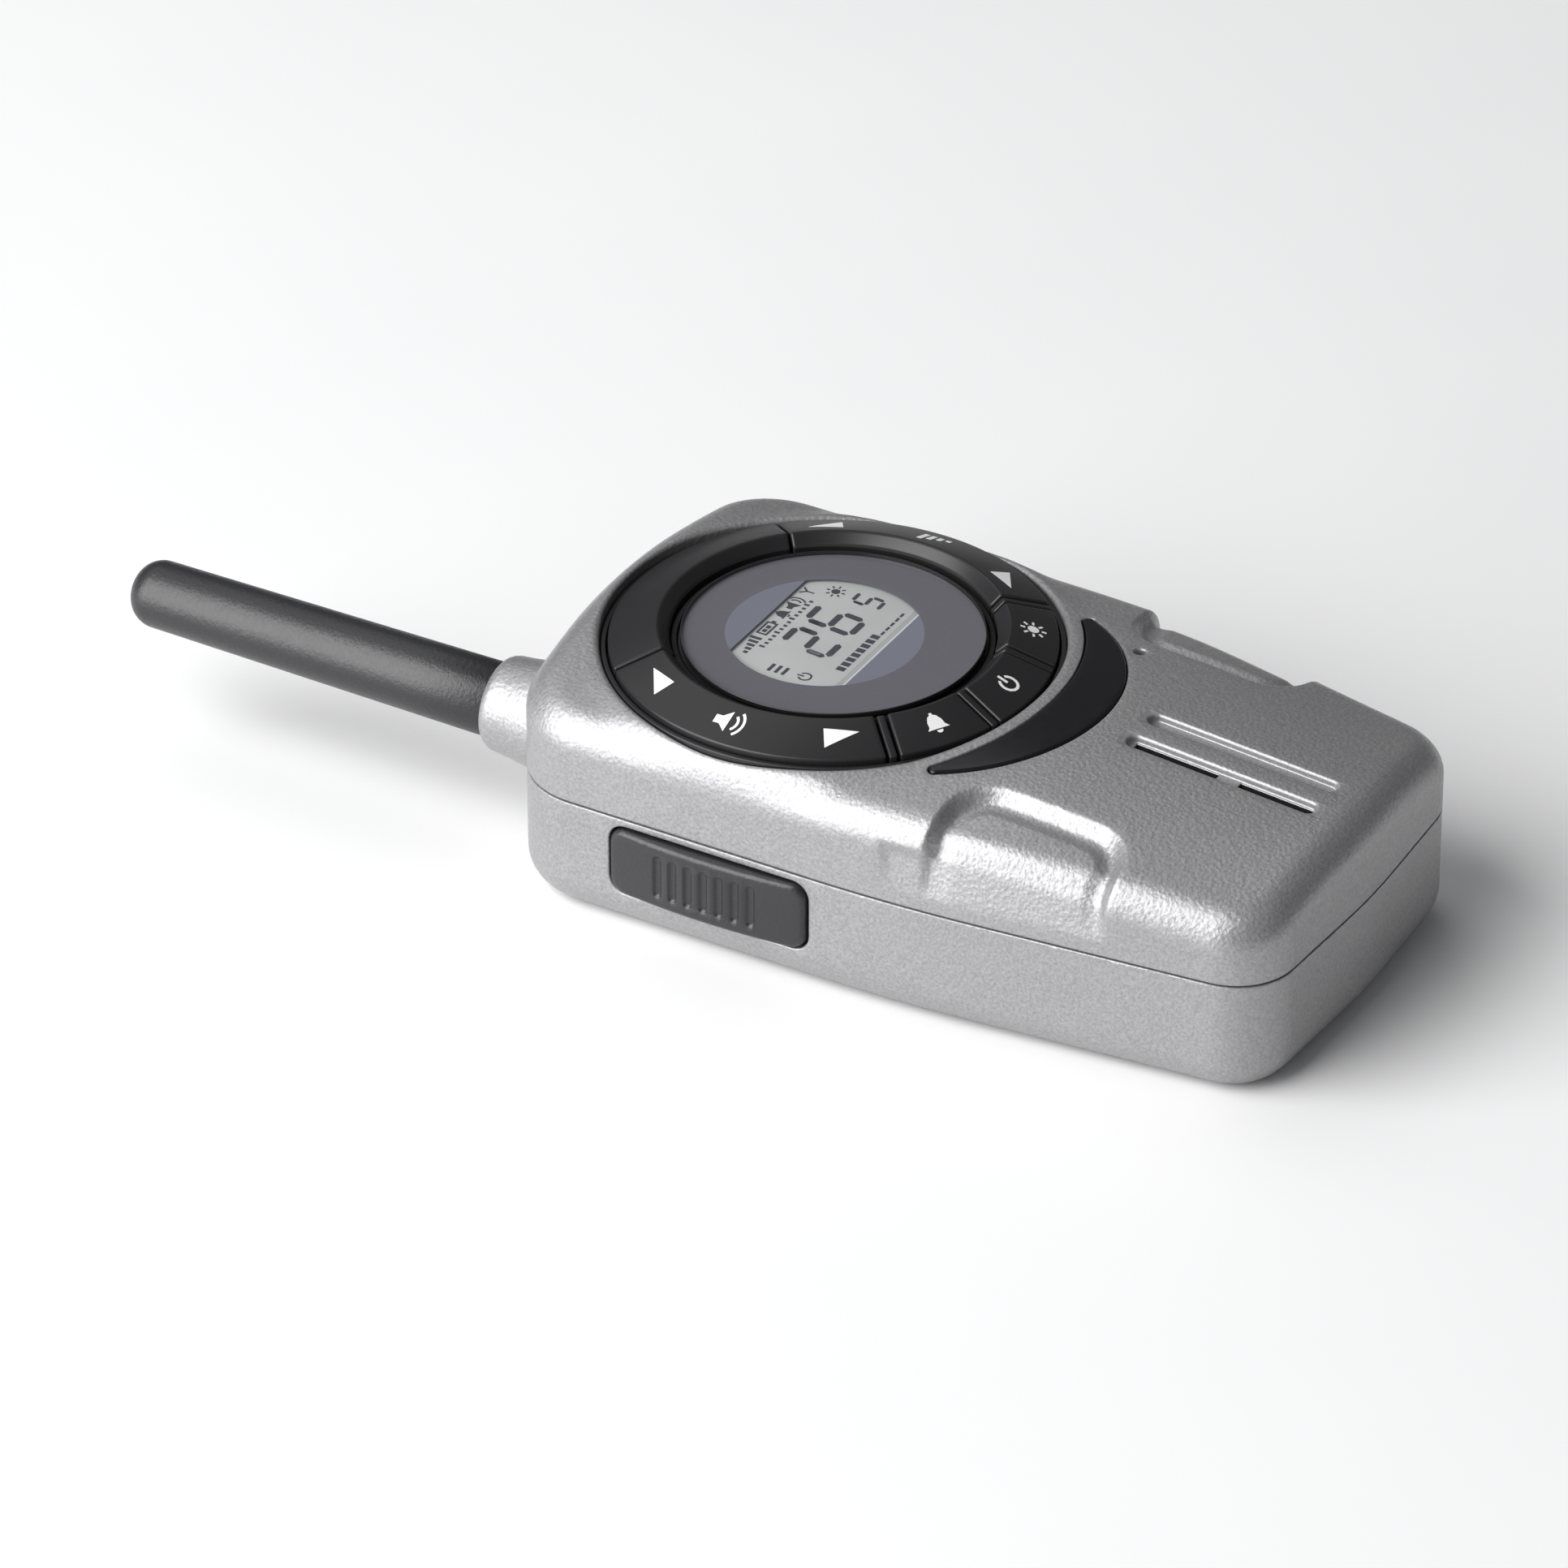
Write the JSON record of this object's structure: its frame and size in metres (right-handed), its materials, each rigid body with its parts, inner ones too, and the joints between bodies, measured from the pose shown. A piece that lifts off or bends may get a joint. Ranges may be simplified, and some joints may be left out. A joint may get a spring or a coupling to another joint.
{
  "type": "two way radio",
  "caption": "Compact handheld two way radio with a round ring of keys about a display, a stub antenna, side talk bar, headset socket and sliding battery door.",
  "frame": {"origin": "on the flat back, under the centre of the key ring", "axes": "+X to the right of the radio seen from the front, +Y towards the antenna tip, +Z out of the display"},
  "size_m": [0.0548, 0.1434, 0.0275],
  "materials": {
    "silver_paint": "metallic silver paint over fine leather grain",
    "key_black": "satin charcoal moulded plastic",
    "gloss_black": "polished black inlay",
    "window": "grey tinted clear window",
    "lcd": "pale grey display glass",
    "rubber_black": "matt black rubber",
    "silicone": "translucent grey silicone",
    "white_plastic": "white moulded plastic",
    "dark_plastic": "black moulded plastic",
    "board": "green lacquered board",
    "plated_steel": "bright plated steel",
    "brass": "plain turned brass",
    "cell_wrap": "printed shrink wrap"
  },
  "bodies": {
    "housing": {"front_case": "silver_paint", "rear_case": "silver_paint", "key_bezel": "key_black", "display_lens": "window", "lens_gasket": "rubber_black", "lcd_glass": "lcd", "backlight": "white_plastic", "keypad_mat": "silicone", "main_board": "board", "shield_can": "plated_steel", "speaker": "dark_plastic", "speaker_mesh": "dark_plastic", "microphone": "plated_steel", "crescent_plate": "gloss_black", "talk_switch": "dark_plastic", "jack_socket": "dark_plastic", "antenna_sheath": "rubber_black", "antenna_core": "brass", "antenna_nut": "brass", "antenna_contact": "brass", "battery_cell_1": "cell_wrap", "battery_cell_2": "cell_wrap", "battery_cell_3": "cell_wrap", "battery_contacts": "plated_steel", "case_screws": "plated_steel"},
    "volume_rocker": {"volume_rocker": "key_black"},
    "channel_rocker": {"channel_rocker": "key_black"},
    "call_key": {"call_key": "key_black"},
    "mode_key": {"mode_key": "key_black"},
    "light_key": {"light_key": "key_black"},
    "talk_button": {"talk_button": "rubber_black"},
    "jack_cover": {"jack_cover": "rubber_black"},
    "battery_door": {"battery_door": "silver_paint"}
  },
  "joints": [
    {"name": "volume_tilt", "type": "hinge", "parent": "housing", "child": "volume_rocker", "pos_m": [0, 0, 0.02415], "axis": [1, 0, 0], "range_deg": [-2.5, 2.5], "stiffness_Nm_per_rad": 0.05},
    {"name": "channel_tilt", "type": "hinge", "parent": "housing", "child": "channel_rocker", "pos_m": [0, 0, 0.02415], "axis": [1, 0, 0], "range_deg": [-2.5, 2.5], "stiffness_Nm_per_rad": 0.05},
    {"name": "call_press", "type": "slide", "parent": "housing", "child": "call_key", "axis": [0, 0, -1], "range_m": [0, 0.0006], "stiffness_N_per_m": 400},
    {"name": "mode_press", "type": "slide", "parent": "housing", "child": "mode_key", "axis": [0, 0, -1], "range_m": [0, 0.0006], "stiffness_N_per_m": 400},
    {"name": "light_press", "type": "slide", "parent": "housing", "child": "light_key", "axis": [0, 0, -1], "range_m": [0, 0.0006], "stiffness_N_per_m": 400},
    {"name": "talk_press", "type": "slide", "parent": "housing", "child": "talk_button", "axis": [1, 0, 0], "range_m": [0, 0.0008], "stiffness_N_per_m": 500},
    {"name": "cover_swing", "type": "hinge", "parent": "housing", "child": "jack_cover", "pos_m": [0.0262, 0.007, 0.0088], "axis": [0, 0, 1], "range_deg": [0, 95]},
    {"name": "door_slide", "type": "slide", "parent": "housing", "child": "battery_door", "axis": [0, -1, 0], "range_m": [0, 0.05]}
  ]
}
